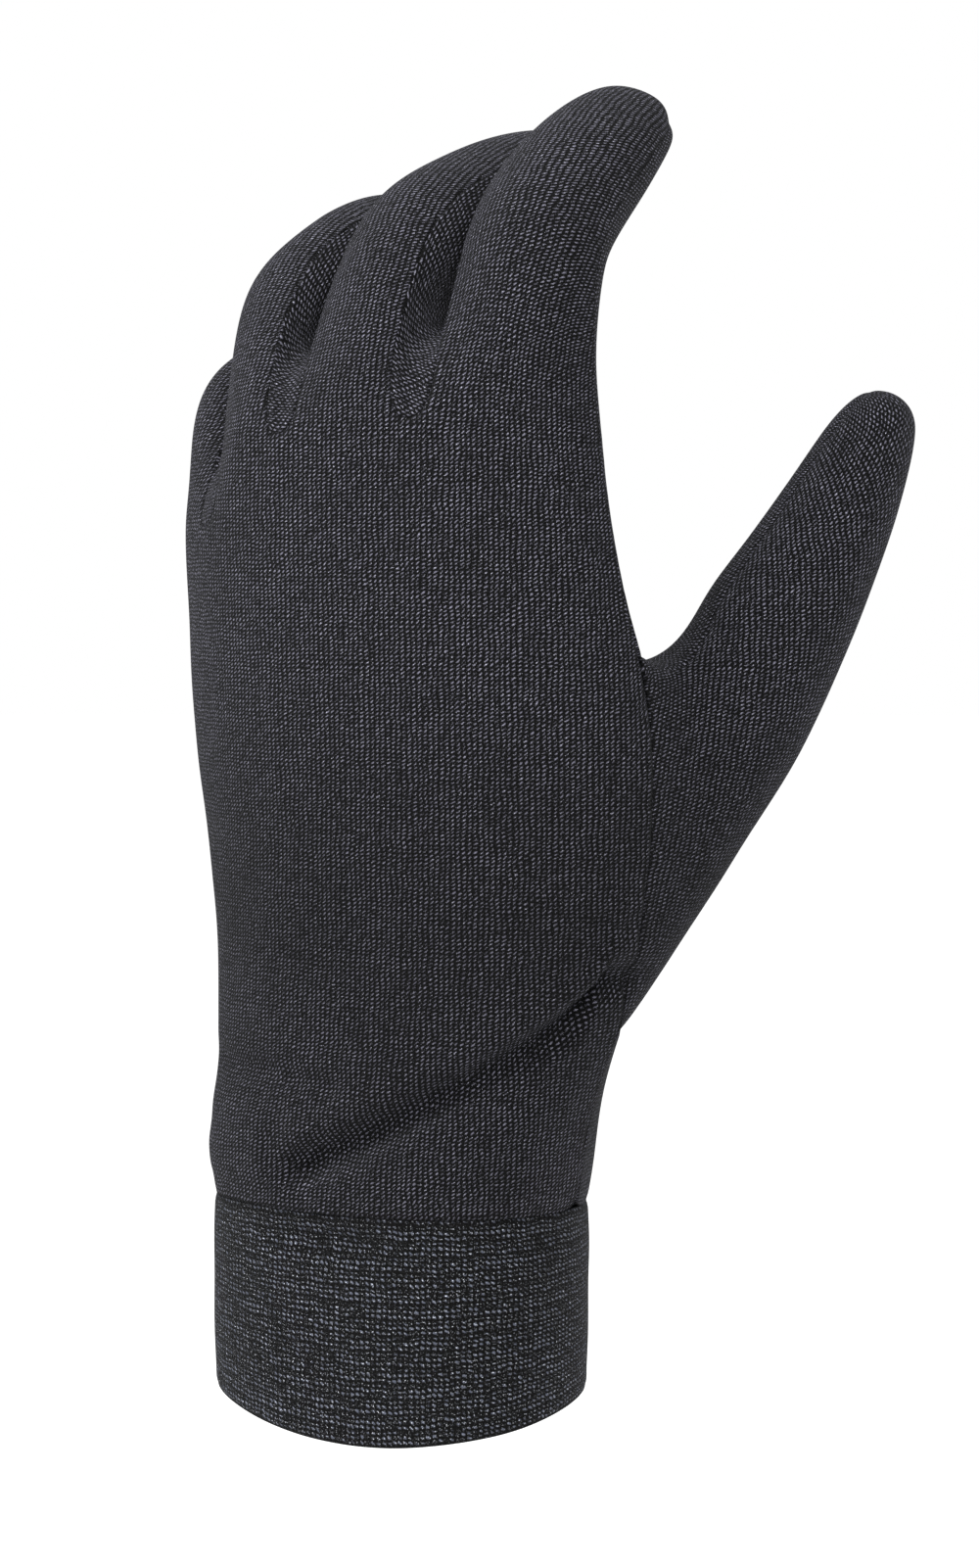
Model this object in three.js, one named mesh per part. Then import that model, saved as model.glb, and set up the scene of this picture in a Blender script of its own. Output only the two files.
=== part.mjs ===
// A thin knitted glove liner for the left hand, cut and sewn, in the form it has on a relaxed hand.
// Units are millimetres. +Z runs from the cuff to the fingers, -Y is the back of the hand and +X the thumb
// side. The origin is the middle of the wrist opening. Every panel is a closed wall of cloth, and
// neighbouring panels are kept apart by the width of the seam between them.
import * as THREE from 'three';

const degrees = THREE.MathUtils.degToRad;
const mix = THREE.MathUtils.lerp;
const smoothstep = THREE.MathUtils.smoothstep;
const vector = (x, y, z) => new THREE.Vector3(x, y, z);

// Driving dimensions: the cloth
const JERSEY_WALL = 0.9; // fine jersey of the hand, fingers and thumb
const CUFF_WALL = 1.8; // rib knit of the cuff, doubled at the hem
const SEAM_GAP = 0.3; // clear width between two panels at their seam
const FOLD_DEPTH = 1.5; // how deep the cloth creases at the wrist
const FOLD_WIDTH = 5.4; // half the width of a crease

// Driving dimensions: the cuff
const CUFF_HEIGHT = 42; // hem to cuff seam, at the back of the hand
const CUFF_WIDTH = 72.5; // across the wrist
const CUFF_DEPTH = 51; // back of the wrist to the palm side
const HEM_RISE = 8; // how much shorter the cuff is on the palm side
const HEM_TAPER = 0.6; // the hem draws in by this much all round
const HEM_LOW = degrees(12); // where the hem hangs lowest, turned from the back to the thumb

// Driving dimensions: the hand
const HAND_LENGTH = 139.5; // cuff seam to the end of the strip between index and middle finger
const HAND_WIDTH = 93; // across the knuckles
const HAND_DEPTH = 32; // back to palm at the knuckles
const KNUCKLE_ARCH = 20; // how far the little finger's edge of the back curves round towards the palm
const THUMB_BALL = 11; // how far the root of the thumb draws out that side of the hand
const FOURCHETTE_WIDTH = 7.4; // the strip between two fingers, where it ends on the back of the hand
const CROTCH_RISE = 6; // how far the strip climbs from the back to the middle of a crotch
const CROTCH_PALM_RISE = 8; // and to the palm

// Driving dimensions: the fingers, each from its crotch to its tip along its middle
const INDEX_LENGTH = 63.5;
const MIDDLE_LENGTH = 73;
const RING_LENGTH = 70;
const LITTLE_LENGTH = 59.5;
const INDEX_WIDTH = 25.5;
const MIDDLE_WIDTH = 24;
const RING_WIDTH = 22.5;
const LITTLE_WIDTH = 18;

// Driving dimensions: the thumb, from the middle of its root to its tip
const THUMB_LENGTH = 96;
const THUMB_WIDTH = 22;
const THUMB_STEP = 7; // its middle line starts this far out of the thumb hole
const THUMB_PLANE = degrees(36); // the plane it lies in, turned from +X towards the palm

// Cross sections of the hand from the cuff seam up. rise is a share of HAND_LENGTH. width and depth are
// shares of HAND_WIDTH and HAND_DEPTH, and so are x and y, the shifts of the section's middle. arch is a
// share of KNUCKLE_ARCH and flare one of THUMB_BALL. The first row is the cuff's own size.
const CUFF_SHARES = { width: CUFF_WIDTH / HAND_WIDTH, depth: CUFF_DEPTH / HAND_DEPTH };
const HAND_SECTIONS = [
  { rise: 0, ...CUFF_SHARES, x: 0, y: 0, arch: 0, flare: 0 },
  { rise: 0.06, width: 0.788, depth: 1.62, x: 0, y: 0, arch: 0.02, flare: 0.1 },
  { rise: 0.125, width: 0.785, depth: 1.56, x: 0, y: -0.02, arch: 0.05, flare: 0.32 },
  { rise: 0.208, width: 0.775, depth: 1.46, x: 0, y: -0.04, arch: 0.13, flare: 0.775 },
  { rise: 0.32, width: 0.818, depth: 1.35, x: 0, y: -0.075, arch: 0.31, flare: 1.0 },
  { rise: 0.44, width: 0.878, depth: 1.25, x: -0.001, y: -0.125, arch: 0.5, flare: 1.0 },
  { rise: 0.56, width: 0.948, depth: 1.14, x: -0.011, y: -0.19, arch: 0.7, flare: 0.95 },
  { rise: 0.675, width: 1.0, depth: 1.06, x: -0.016, y: -0.25, arch: 0.85, flare: 0.63 },
  { rise: 0.83, width: 1.015, depth: 1.02, x: -0.018, y: -0.29, arch: 0.95, flare: 0 },
  { rise: 1.0, width: 1.0, depth: 1.0, x: -0.039, y: -0.31, arch: 1.0, flare: 0.05 },
  { rise: 1.045, width: 0.985, depth: 0.97, x: -0.034, y: -0.31, arch: 1.0, flare: 0 },
];
const SECTION_POWER = 2.3; // 2 is an ellipse, more is squarer
const PALM_ARCH = 0.6; // the palm side curves this share as much as the back
const THUMB_SIDE_ARCH = 0.25; // and so does the thumb side beside the little finger's side

// The fingers from the little finger to the index. root is how much of the hand each one takes up beside
// the others, per width. drop is how far its crotch level lies below HAND_LENGTH, as a share of it.
const FINGERS = [
  { name: 'little', length: LITTLE_LENGTH, width: LITTLE_WIDTH, root: 0.69, drop: 0.145 },
  { name: 'ring', length: RING_LENGTH, width: RING_WIDTH, root: 0.69, drop: 0.02 },
  { name: 'middle', length: MIDDLE_LENGTH, width: MIDDLE_WIDTH, root: 0.92, drop: 0 },
  { name: 'index', length: INDEX_LENGTH, width: INDEX_WIDTH, root: 0.96, drop: 0 },
];

// How each finger is held, in degrees. splay leans it towards the thumb, turn twists the way it curls, and
// knuckle, middle and last are the bends of its joints. joint is where its middle joint lies along it.
const CURLS = {
  little: { splay: -6, turn: 22, knuckle: 30, middle: 54, last: 26, joint: 0.34 },
  ring: { splay: -17, turn: 22, knuckle: 27, middle: 46, last: 21, joint: 0.29 },
  middle: { splay: -2, turn: 12, knuckle: 17, middle: 51, last: 8, joint: 0.25 },
  index: { splay: 0, turn: 7, knuckle: 8, middle: 42, last: 12, joint: 0.32 },
};
const LAST_JOINT = 0.7; // where the last joint lies along every finger
const BEND_SPAN = 0.24; // each joint's bend is spread over this share of the length

// Rings of a finger: along is a share of its length, size a share of its width, and side how much of a
// quarter turn the fourchette takes up on each side.
const FINGER_RINGS = [
  { along: 0.21, size: 1.0, side: 0.36 },
  { along: 0.33, size: 1.01, side: 0.38 },
  { along: 0.49, size: 0.98, side: 0.37 },
  { along: 0.66, size: 0.97, side: 0.33 },
  { along: 0.82, size: 0.85, side: 0.28 },
  { along: 0.94, size: 0.72, side: 0.2 },
];

// The thumb: sections along its middle line. along is a share of THUMB_LENGTH, width and depth are shares
// of THUMB_WIDTH, tilt is the lean of the section in degrees, and blend is how much of the round section
// has replaced the shape of the thumb hole.
const THUMB_ROWS = { first: 3, last: 7 }; // hand sections between which the thumb hole is cut
const THUMB_COLUMNS = 3; // columns of the hand that the hole takes up
const THUMB_LEANS = [40, 34, 29, 28, 24, 22]; // the line's lean from upright, from root to tip
const HOLE_CLOSING = 0.58; // how much the shape of the thumb hole shrinks as it is carried up the thumb
const THUMB_RINGS = [
  { along: 0.107, width: 2.5, depth: 1.35, tilt: 88, blend: 0.5 },
  { along: 0.243, width: 2.06, depth: 1.25, tilt: 80, blend: 0.8 },
  { along: 0.4, width: 1.6, depth: 1.16, tilt: 60, blend: 0.95 },
  { along: 0.56, width: 1.19, depth: 1.06, tilt: 42, blend: 1.0 },
  { along: 0.734, width: 0.94, depth: 0.94, tilt: 28, blend: 1.0 },
  { along: 0.86, width: 0.78, depth: 0.8, tilt: 22, blend: 1.0 },
  { along: 0.95, width: 0.54, depth: 0.56, tilt: 20, blend: 1.0 },
];

// Folds at the wrist. from and to are angles round the wrist, 0 at the middle of the back and 90 at the
// thumb side. start and end are the heights there, as shares of HAND_LENGTH above the cuff seam. depth is a
// share of FOLD_DEPTH and width one of FOLD_WIDTH. bow is 1 for an even slope and less for a fold that
// falls steeply at first. Beside each fold the cloth swells.
const FOLDS = [
  { from: 74, to: -10, start: 0.24, end: 0.05, bow: 0.66, depth: 1, width: 1 },
  { from: -4, to: -58, start: 0.15, end: 0.172, bow: 1, depth: 0.35, width: 0.8 },
  { from: 150, to: 215, start: 0.11, end: 0.13, bow: 1, depth: 0.3, width: 0.9 },
];
const FOLD_SWELL = 0.6; // the height of that swell, as a share of the fold's depth
const FOLD_FADE = 0.12; // how softly a fold ends, as a share of its length

// How far each relaxing pass draws the points of the skin, and those of its seams, towards their neighbours
const RELAX_PASSES = 2;
const SKIN_RELAX = 0.35;
const SEAM_RELAX = 0.45;

// A cage point of a B-spline ring lies outside the surface: this is how much, for a ring of n points
const ringSwell = (n) => 3 / (2 + Math.cos((2 * Math.PI) / n));

// The cage: points and four-cornered faces, each marked with the panel that it belongs to
const cage = { points: [], faces: [] };
const addPoint = (point) => cage.points.push(point) - 1;
const addFace = (panel, ...corners) => cage.faces.push({ panel, corners });

// Faces between two rings of the same number of points. panelOf names the panel of each column.
function joinRings(lower, upper, panelOf) {
  lower.forEach((_, i) => {
    const j = (i + 1) % lower.length;
    const panel = panelOf(i);
    if (panel) addFace(panel, lower[i], lower[j], upper[j], upper[i]);
  });
}

// Where the fingers' edges and middles lie across the hand, from -1 at the little finger's edge to 1
const OUTER_EDGE = 0.9; // the outermost finger edges lie this far round the side of the hand
function fingerPlaces() {
  const half = (HAND_WIDTH / 2) * OUTER_EDGE;
  const strips = (FINGERS.length - 1) * FOURCHETTE_WIDTH;
  const roots = FINGERS.reduce((sum, finger) => sum + finger.root * finger.width, 0);
  let left = -half;
  return FINGERS.map((finger) => {
    const right = left + (finger.root * finger.width * (2 * half - strips)) / roots;
    const place = { left: left / half, middle: (left + right) / 2 / half, right: right / half };
    left = right + FOURCHETTE_WIDTH;
    return place;
  });
}

// The columns of the hand, once round: the little finger's side, the back, the thumb side, the palm
function handColumns() {
  const across = fingerPlaces().flatMap((place, finger) =>
    ['left', 'middle', 'right'].map((spot) => ({ finger, spot, f: place[spot] * OUTER_EDGE })),
  );
  const back = across.map((column) => ({ ...column, side: -1 }));
  const palm = across.map((column) => ({ ...column, side: 1 })).reverse();
  return [{ f: -1, side: 0, finger: 0 }, ...back, { f: 1, side: 0, finger: FINGERS.length - 1 }, ...palm];
}
const COLUMNS = handColumns();
const THUMB_SIDE = COLUMNS.findIndex((column) => column.side === 0 && column.f === 1);

// The crotch level of each column as a share of HAND_LENGTH: the lower of its own and its neighbour's
const NEIGHBOURS = { left: -1, middle: 0, right: 1 };
function topRise(column) {
  const own = FINGERS[column.finger];
  const beside = FINGERS[column.finger + (NEIGHBOURS[column.spot] ?? 0)] ?? own;
  return 1 - Math.max(own.drop, beside.drop);
}

// A point of the hand's cage on one section and in one column
function handPoint(section, column) {
  const halfWidth = (section.width * HAND_WIDTH) / 2;
  const halfDepth = (section.depth * HAND_DEPTH) / 2;
  const out = Math.pow(1 - Math.pow(Math.abs(column.f), SECTION_POWER), 1 / SECTION_POWER);
  const curve = column.f > 0 ? THUMB_SIDE_ARCH * Math.pow(column.f, 2) : Math.pow(-column.f, 2.2);
  const bend = section.arch * KNUCKLE_ARCH * (column.side > 0 ? PALM_ARCH : 1) * curve;
  const levelled = section.rise * mix(1, topRise(column), section.rise);
  const flare = section.flare * THUMB_BALL * Math.pow(Math.max(0, column.f), 4);
  return vector(
    section.x * HAND_WIDTH + halfWidth * column.f + flare,
    section.y * HAND_DEPTH + bend + column.side * halfDepth * out,
    CUFF_HEIGHT + levelled * HAND_LENGTH,
  );
}

// The cuff: rows below the cuff seam. The hem rises towards the palm side.
const CUFF_ROWS = [0, 0.16, 0.6]; // shares of the cuff's height, from the hem
function cuffPoint(share, column) {
  const seam = handPoint(HAND_SECTIONS[0], column);
  const reach = Math.hypot(seam.x, seam.y);
  const facing = Math.max(0, (seam.x * Math.sin(HEM_LOW) - seam.y * Math.cos(HEM_LOW)) / reach);
  const hem = HEM_RISE * (1 - facing);
  const draw = 1 - (HEM_TAPER / (CUFF_WIDTH / 2)) * Math.pow(1 - share, 6);
  return vector(seam.x * draw, seam.y * draw, mix(hem, CUFF_HEIGHT, share));
}

// The panel that a column of the hand belongs to
const handPanel = (i) => (i < THUMB_SIDE ? 'back_panel' : 'palm_panel');
const columnAfter = (i) => COLUMNS[(i + 1) % COLUMNS.length];
const isWeb = (i) => COLUMNS[i].side === columnAfter(i).side && COLUMNS[i].finger !== columnAfter(i).finger;
const fourchetteName = (i) => `fourchette_${FINGERS[i].name}_${FINGERS[i + 1].name}`;

function buildHand() {
  const ringOf = (place) => COLUMNS.map((column) => addPoint(place(column)));
  const cuffRings = CUFF_ROWS.map((share) => ringOf((column) => cuffPoint(share, column)));
  const handRings = HAND_SECTIONS.map((section) => ringOf((column) => handPoint(section, column)));
  cuffRings.forEach((ring, row) => joinRings(ring, cuffRings[row + 1] ?? handRings[0], () => 'cuff'));
  const top = handRings.length - 1;
  for (let row = 0; row < top; row += 1) {
    const holed = row >= THUMB_ROWS.first && row < THUMB_ROWS.last;
    joinRings(handRings[row], handRings[row + 1], (i) => {
      if (holed && i >= THUMB_SIDE && i < THUMB_SIDE + THUMB_COLUMNS) return null;
      if (row === top - 1 && isWeb(i)) {
        return fourchetteName(Math.min(COLUMNS[i].finger, columnAfter(i).finger));
      }
      return handPanel(i);
    });
  }
  return handRings;
}

// The middle line of a finger: a flat curve whose direction turns at its joints
const LINE_STEPS = 60; // straight steps that a middle line is made of
function fingerLine(finger, root) {
  const curl = CURLS[finger.name];
  const up = vector(Math.sin(degrees(curl.splay)), 0, Math.cos(degrees(curl.splay)));
  const palm = vector(Math.sin(degrees(curl.turn)), Math.cos(degrees(curl.turn)), 0);
  palm.addScaledVector(up, -palm.dot(up)).normalize();
  const side = vector(0, 0, 0).crossVectors(palm, up).normalize();
  const joints = [[0, curl.knuckle], [curl.joint, curl.middle], [LAST_JOINT, curl.last]];
  const reach = BEND_SPAN / 2;
  const directionAt = (share) => {
    const bends = joints.map(([joint, bend]) => bend * smoothstep(share, joint - reach, joint + reach));
    const bend = degrees(bends[0] + bends[1] + bends[2]);
    return up.clone().multiplyScalar(Math.cos(bend)).addScaledVector(palm, Math.sin(bend));
  };
  return (share) => {
    const point = root.clone();
    for (let k = 0; k < Math.round(share * LINE_STEPS); k += 1) {
      point.addScaledVector(directionAt(k / LINE_STEPS), finger.length / LINE_STEPS);
    }
    const back = vector(0, 0, 0).crossVectors(side, directionAt(share));
    return { point, side, back };
  };
}

// One ring of a finger: eight points, the back from left to right first, then the palm side
function fingerRing(finger, at, size, sideShare) {
  const radius = (finger.width / 2) * size * ringSwell(8);
  const quarter = degrees(90);
  const side = sideShare * quarter;
  const back = quarter - side;
  const palm = quarter + side;
  const angles = [-back, 0, back, quarter, palm, 2 * quarter, -palm, -quarter];
  return angles.map((angle) => addPoint(
    at.point.clone()
      .addScaledVector(at.side, radius * Math.sin(angle))
      .addScaledVector(at.back, radius * Math.cos(angle)),
  ));
}

function buildFingers(top) {
  const columnOf = (finger, spot, side) =>
    COLUMNS.findIndex((column) => column.finger === finger && column.spot === spot && column.side === side);
  const point = (i) => cage.points[i];
  const crotchMiddle = (finger, spot) => {
    const middle = mean([-1, 1].map((side) => point(top[columnOf(finger, spot, side)])));
    middle.z += CROTCH_RISE;
    return addPoint(middle);
  };
  FINGERS.forEach((finger, f) => {
    if (f < FINGERS.length - 1) {
      point(top[columnOf(f, 'right', 1)]).z += CROTCH_PALM_RISE;
      point(top[columnOf(f + 1, 'left', 1)]).z += CROTCH_PALM_RISE;
    }
  });
  const roots = FINGERS.map((finger, f) => ({
    left: f === 0 ? top[0] : crotchMiddle(f, 'left'),
    right: f === FINGERS.length - 1 ? top[THUMB_SIDE] : crotchMiddle(f, 'right'),
  }));
  FINGERS.forEach((finger, f) => {
    const ringOf = (side) => ['left', 'middle', 'right'].map((spot) => top[columnOf(f, spot, side)]);
    const [backLeft, backMiddle, backRight] = ringOf(-1);
    const [palmLeft, palmMiddle, palmRight] = ringOf(1);
    const { left: rootLeft, right: rootRight } = roots[f];
    const base = [backLeft, backMiddle, backRight, rootRight, palmRight, palmMiddle, palmLeft, rootLeft];
    const line = fingerLine(finger, mean(base.map(point)));
    const before = f > 0 ? fourchetteName(f - 1) : null;
    const after = f < FINGERS.length - 1 ? fourchetteName(f) : null;
    const left = [before ?? 'palm_panel', before ?? 'back_panel'];
    const right = [after ?? 'back_panel', after ?? 'palm_panel'];
    const panels = ['back_panel', 'back_panel', ...right, 'palm_panel', 'palm_panel', ...left];
    let lower = base;
    FINGER_RINGS.forEach((ring) => {
      const upper = fingerRing(finger, line(ring.along), ring.size, ring.side);
      joinRings(lower, upper, (i) => panels[i]);
      lower = upper;
    });
    const tip = addPoint(line(1).point);
    addFace('back_panel', lower[0], lower[1], tip, lower[7]);
    addFace('back_panel', lower[1], lower[2], lower[3], tip);
    addFace('palm_panel', tip, lower[3], lower[4], lower[5]);
    addFace('palm_panel', lower[7], tip, lower[5], lower[6]);
    if (after) {
      const nextBack = top[columnOf(f + 1, 'left', -1)];
      const nextPalm = top[columnOf(f + 1, 'left', 1)];
      addFace(after, backRight, nextBack, roots[f + 1].left, rootRight);
      addFace(after, rootRight, roots[f + 1].left, nextPalm, palmRight);
    }
  });
}

// The thumb grows out of a hole in the side of the hand: its first ring is the edge of that hole
function buildThumb(handRings) {
  const from = THUMB_SIDE;
  const to = from + THUMB_COLUMNS;
  const loop = [];
  for (let row = THUMB_ROWS.last; row > THUMB_ROWS.first; row -= 1) loop.push(handRings[row][from]);
  for (let i = from; i < to; i += 1) loop.push(handRings[THUMB_ROWS.first][i]);
  for (let row = THUMB_ROWS.first; row < THUMB_ROWS.last; row += 1) loop.push(handRings[row][to]);
  for (let i = to; i > from; i -= 1) loop.push(handRings[THUMB_ROWS.last][i]);
  const hole = loop.map((i) => cage.points[i]);
  const root = mean(hole);
  const rows = THUMB_ROWS.last - THUMB_ROWS.first;
  const corner = degrees(40);
  const spread = (start, end, count) => Array.from({ length: count }, (_, k) => mix(start, end, k / count));
  const turns = [
    ...spread(corner, Math.PI - corner, rows),
    ...spread(Math.PI - corner, Math.PI + corner, THUMB_COLUMNS),
    ...spread(Math.PI + corner, 2 * Math.PI - corner, rows),
    ...spread(2 * Math.PI - corner, 2 * Math.PI + corner, THUMB_COLUMNS),
  ];
  const outward = vector(Math.cos(THUMB_PLANE), Math.sin(THUMB_PLANE), 0);
  const sideways = vector(Math.sin(THUMB_PLANE), -Math.cos(THUMB_PLANE), 0);
  const leanAt = (share) => {
    const place = share * (THUMB_LEANS.length - 1);
    const k = Math.min(Math.floor(place), THUMB_LEANS.length - 2);
    return degrees(mix(THUMB_LEANS[k], THUMB_LEANS[k + 1], place - k));
  };
  const pointAt = (share) => {
    const point = root.clone().addScaledVector(outward, THUMB_STEP);
    for (let k = 0; k < Math.round(share * LINE_STEPS); k += 1) {
      const lean = leanAt(k / LINE_STEPS);
      point.addScaledVector(outward, (Math.sin(lean) * THUMB_LENGTH) / LINE_STEPS);
      point.z += (Math.cos(lean) * THUMB_LENGTH) / LINE_STEPS;
    }
    return point;
  };
  let lower = loop;
  THUMB_RINGS.forEach((ring) => {
    const point = pointAt(ring.along);
    const inner = outward.clone().multiplyScalar(-Math.cos(degrees(ring.tilt)));
    inner.z = Math.sin(degrees(ring.tilt));
    const swell = (THUMB_WIDTH / 2) * ringSwell(loop.length);
    const upper = turns.map((turn, i) => {
      const round = point.clone()
        .addScaledVector(inner, Math.cos(turn) * ring.width * swell)
        .addScaledVector(sideways, Math.sin(turn) * ring.depth * swell);
      const carried = hole[i].clone().sub(root).multiplyScalar(1 - HOLE_CLOSING * ring.blend).add(point);
      return addPoint(carried.lerp(round, ring.blend));
    });
    joinRings(lower, upper, () => 'thumb');
    lower = upper;
  });
  const tip = addPoint(pointAt(1));
  for (let i = 0; i < lower.length; i += 2) {
    addFace('thumb', lower[i], lower[i + 1], lower[(i + 2) % lower.length], tip);
  }
}

const mean = (list) => list.reduce((sum, p) => sum.add(p), vector(0, 0, 0)).divideScalar(list.length);
const edgeKey = (a, b) => (a < b ? `${a},${b}` : `${b},${a}`);

// Catmull-Clark: the smooth surface that a cage stands for, one step finer
function subdivide({ points, faces }) {
  const facePoints = faces.map(({ corners }) => mean(corners.map((i) => points[i])));
  const edges = new Map();
  faces.forEach(({ corners }, f) => corners.forEach((a, k) => {
    const b = corners[(k + 1) % corners.length];
    const key = edgeKey(a, b);
    if (!edges.has(key)) edges.set(key, { ends: [a, b], faces: [] });
    edges.get(key).faces.push(f);
  }));
  const around = points.map(() => ({ faces: [], edges: [], rim: [] }));
  faces.forEach(({ corners }, f) => corners.forEach((i) => around[i].faces.push(facePoints[f])));
  edges.forEach((edge) => {
    edge.middle = points[edge.ends[0]].clone().add(points[edge.ends[1]]).multiplyScalar(0.5);
    edge.ends.forEach((i) => around[i][edge.faces.length === 1 ? 'rim' : 'edges'].push(edge.middle));
  });
  const moved = points.map((p, i) => {
    const { faces: beside, edges: spokes, rim } = around[i];
    if (rim.length) return p.clone().add(mean(rim)).multiplyScalar(0.5);
    const n = beside.length;
    return mean(beside).addScaledVector(mean(spokes), 2).addScaledVector(p, n - 3).multiplyScalar(1 / n);
  });
  const finer = { points: moved, faces: [] };
  const faceIndex = facePoints.map((p) => finer.points.push(p) - 1);
  edges.forEach((edge) => {
    const beside = mean(edge.faces.map((f) => facePoints[f]));
    const place = edge.faces.length === 1 ? edge.middle : mean([edge.middle, beside]);
    edge.index = finer.points.push(place) - 1;
  });
  const edgeIndex = (a, b) => edges.get(edgeKey(a, b)).index;
  faces.forEach(({ panel, corners }, f) => corners.forEach((corner, k) => {
    const before = corners[(k + corners.length - 1) % corners.length];
    const after = corners[(k + 1) % corners.length];
    const quad = [corner, edgeIndex(corner, after), faceIndex[f], edgeIndex(before, corner)];
    finer.faces.push({ panel, corners: quad });
  }));
  return finer;
}

// Draws every point towards its neighbours, which evens out the skin, and then every seam point towards
// the two beside it on its seam, which rounds the corners of the panels. The hem keeps its own line.
function relax({ points, faces }) {
  const sides = new Map();
  faces.forEach(({ panel, corners }) => corners.forEach((a, k) => {
    const b = corners[(k + 1) % corners.length];
    const key = edgeKey(a, b);
    if (!sides.has(key)) sides.set(key, { ends: [a, b], panels: [] });
    sides.get(key).panels.push(panel);
  }));
  const beside = points.map(() => ({ all: [], seam: [], hem: false }));
  sides.forEach(({ ends: [a, b], panels: [one, other] }) => [[a, b], [b, a]].forEach(([i, j]) => {
    beside[i].all.push(j);
    if (one !== other) beside[i].seam.push(j);
    if (!other) beside[i].hem = true;
  }));
  const drawn = (from, list, share) => from.map((p, i) => {
    if (beside[i].hem || !list(i).length) return p.clone();
    return p.clone().lerp(mean(list(i).map((j) => from[j])), share);
  });
  const even = drawn(points, (i) => beside[i].all, SKIN_RELAX);
  const corners = (i) => (beside[i].seam.length === 2 ? beside[i].seam : []);
  return { points: drawn(even, corners, SEAM_RELAX), faces };
}

// Presses the folds of the wrist into the skin of the hand, above the cuff seam and clear of the thumb
function fold({ points, faces }) {
  const normals = pointNormals({ points, faces });
  const bell = (distance) => Math.exp(-distance * distance);
  const thumb = new Set(faces.filter(({ panel }) => panel === 'thumb').flatMap(({ corners }) => corners));
  const sunkAt = (angle, rise) => FOLDS.reduce((sum, crease) => {
    const share = (angle - crease.from) / (crease.to - crease.from);
    const level = mix(crease.start, crease.end, Math.pow(Math.max(0, share), crease.bow));
    const away = ((rise - level) * HAND_LENGTH) / (crease.width * FOLD_WIDTH);
    const within = bell(Math.max(0, -share, share - 1) / FOLD_FADE);
    return sum + crease.depth * FOLD_DEPTH * within * (FOLD_SWELL * bell(away - 1.7) - bell(away));
  }, 0);
  const folded = points.map((p, i) => {
    if (thumb.has(i)) return p;
    const angle = THREE.MathUtils.radToDeg(Math.atan2(p.x, -p.y));
    const rise = (p.z - CUFF_HEIGHT) / HAND_LENGTH;
    return p.clone().addScaledVector(normals[i], sunkAt(angle, rise) * smoothstep(rise, 0, 0.03));
  });
  return { points: folded, faces };
}

function pointNormals({ points, faces }) {
  const normals = points.map(() => vector(0, 0, 0));
  faces.forEach(({ corners }) => {
    const [a, b, c, d] = corners.map((i) => points[i]);
    const normal = vector(0, 0, 0).crossVectors(c.clone().sub(a), d.clone().sub(b));
    corners.forEach((i) => normals[i].add(normal));
  });
  return normals.map((normal) => normal.normalize());
}

// A panel as a closed wall: its outer face on the skin, its inner face one wall further in, and its edge
// drawn back from the seam by half of the seam's gap
function panelMesh(skin, normals, name, wall, material) {
  const faces = skin.faces.filter((face) => face.panel === name);
  const edges = new Map();
  faces.forEach(({ corners }) => corners.forEach((a, k) => {
    const b = corners[(k + 1) % corners.length];
    edges.set(`${a},${b}`, [a, b]);
  }));
  const rim = [...edges.values()].filter(([a, b]) => !edges.has(`${b},${a}`));
  const inset = new Map();
  rim.forEach(([a, b]) => [a, b].forEach((i) => {
    const along = skin.points[b].clone().sub(skin.points[a]);
    const inward = vector(0, 0, 0).crossVectors(normals[i], along).normalize();
    inset.set(i, (inset.get(i) ?? vector(0, 0, 0)).add(inward));
  }));
  const index = new Map();
  const outer = [];
  const inner = [];
  faces.forEach(({ corners }) => corners.forEach((i) => {
    if (index.has(i)) return;
    const place = skin.points[i].clone();
    if (inset.has(i)) place.addScaledVector(inset.get(i).normalize(), SEAM_GAP / 2);
    index.set(i, outer.push(place) - 1);
    inner.push(place.clone().addScaledVector(normals[i], -wall));
  }));
  const count = outer.length;
  const triangles = [];
  const quad = (a, b, c, d) => triangles.push(a, b, c, a, c, d);
  faces.forEach(({ corners }) => {
    const [a, b, c, d] = corners.map((i) => index.get(i));
    quad(a, b, c, d);
    quad(count + d, count + c, count + b, count + a);
  });
  rim.forEach(([a, b]) => {
    const [i, j] = [index.get(a), index.get(b)];
    quad(j, i, count + i, count + j);
  });
  const geometry = new THREE.BufferGeometry();
  const flat = [...outer, ...inner].flatMap((p) => p.toArray());
  geometry.setAttribute('position', new THREE.Float32BufferAttribute(flat, 3));
  geometry.setIndex(triangles);
  geometry.computeVertexNormals();
  const mesh = new THREE.Mesh(geometry, material);
  mesh.name = name;
  return mesh;
}

const jersey = new THREE.MeshStandardMaterial({ color: 0x2b2c31, roughness: 0.92, metalness: 0 });
const ribKnit = new THREE.MeshStandardMaterial({ color: 0x24262b, roughness: 0.9, metalness: 0 });

const handRings = buildHand();
buildFingers(handRings.at(-1));
buildThumb(handRings);
let skin = subdivide(cage);
for (let pass = 0; pass < RELAX_PASSES; pass += 1) skin = relax(skin);
skin = fold(skin);
const normals = pointNormals(skin);

const panels = ['back_panel', 'palm_panel', ...FINGERS.slice(1).map((_, i) => fourchetteName(i)), 'thumb'];
const glove = new THREE.Group();
panels.forEach((name) => glove.add(panelMesh(skin, normals, name, JERSEY_WALL, jersey)));
glove.add(panelMesh(skin, normals, 'cuff', CUFF_WALL, ribKnit));

export default glove;
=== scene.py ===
import math
from itertools import combinations

import bmesh
import bpy
import numpy as np
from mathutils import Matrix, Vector, noise
from mathutils.kdtree import KDTree


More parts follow.
